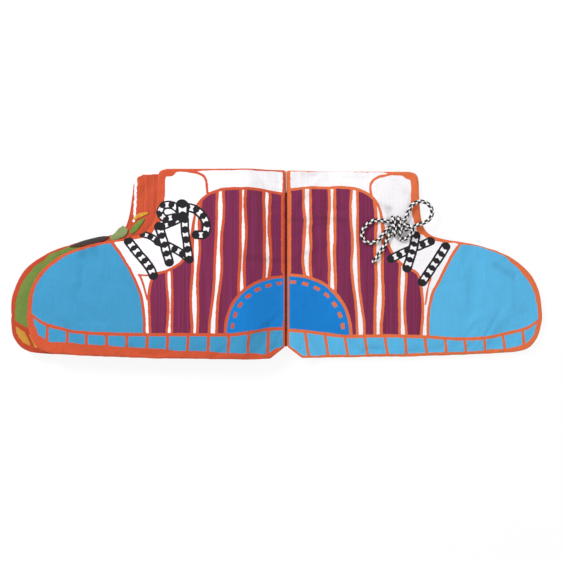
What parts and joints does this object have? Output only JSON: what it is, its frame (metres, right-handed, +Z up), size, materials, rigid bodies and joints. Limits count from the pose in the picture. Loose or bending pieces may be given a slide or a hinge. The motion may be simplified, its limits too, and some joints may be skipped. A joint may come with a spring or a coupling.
{
  "type": "cloth book",
  "caption": "Soft cloth book cut in the shape of high-top shoes: padded leaves sewn at one fold, with a real round lace tied in a bow on a page.",
  "frame": {"origin": "on the resting plane, under the middle of the open book's outline", "axes": "+X towards the toe of the right page, +Y towards the shoes' collars, +Z up out of the open pages"},
  "size_m": [0.4986, 0.176, 0.0276],
  "materials": {
    "binding_cloth": "matte woven cotton",
    "seam_thread": "twisted sewing thread",
    "cover_cloth": "matte woven cotton",
    "wadding": "fluffy polyester fibre",
    "long_shoe_print": "matte printed cotton",
    "left_page_print": "matte printed cotton",
    "right_page_print": "matte printed cotton",
    "lace_cord": "braided polyester cord, black and white",
    "tack_thread": "dense stitching",
    "green_cloth": "matte cloth",
    "gold_cloth": "matte cloth",
    "black_hook_tape": "matte looped tape"
  },
  "bodies": {
    "spine": {"spine_strip": "binding_cloth", "spine_thread": "seam_thread"},
    "left_page": {"left_page_back_cloth": "cover_cloth", "left_page_front_cloth": "left_page_print", "left_page_wadding": "wadding"},
    "long_shoe_leaf": {"long_shoe_leaf_back_cloth": "cover_cloth", "long_shoe_leaf_front_cloth": "long_shoe_print", "long_shoe_leaf_wadding": "wadding", "green_strap": "green_cloth", "green_strap_end": "green_cloth", "gold_strap": "gold_cloth", "black_patch": "black_hook_tape"},
    "front_cover": {"front_cover_outer_cloth": "cover_cloth", "front_cover_inner_cloth": "cover_cloth", "front_cover_wadding": "wadding"},
    "back_cover": {"back_cover_inner_cloth": "right_page_print", "back_cover_outer_cloth": "cover_cloth", "back_cover_wadding": "wadding", "left_lace": "lace_cord", "right_lace": "lace_cord", "left_knot_wrap": "lace_cord", "right_knot_wrap": "lace_cord", "lace_tack": "tack_thread"}
  },
  "joints": [
    {"name": "page_turn", "type": "hinge", "parent": "spine", "child": "left_page", "pos_m": [0.00555, 0, 0.0143], "axis": [0, 1, 0], "range_deg": [0, 165]},
    {"name": "long_shoe_fold_back", "type": "hinge", "parent": "spine", "child": "long_shoe_leaf", "pos_m": [0.00555, 0, 0.0118], "axis": [0, -1, 0], "range_deg": [0, 45]},
    {"name": "front_cover_fold_back", "type": "hinge", "parent": "long_shoe_leaf", "child": "front_cover", "pos_m": [0.00285, 0, 0.0093], "axis": [0, -1, 0], "range_deg": [0, 45]},
    {"name": "back_cover_fold_back", "type": "hinge", "parent": "spine", "child": "back_cover", "pos_m": [0.00905, 0, 0.012], "axis": [0, 1, 0], "range_deg": [0, 60]}
  ]
}
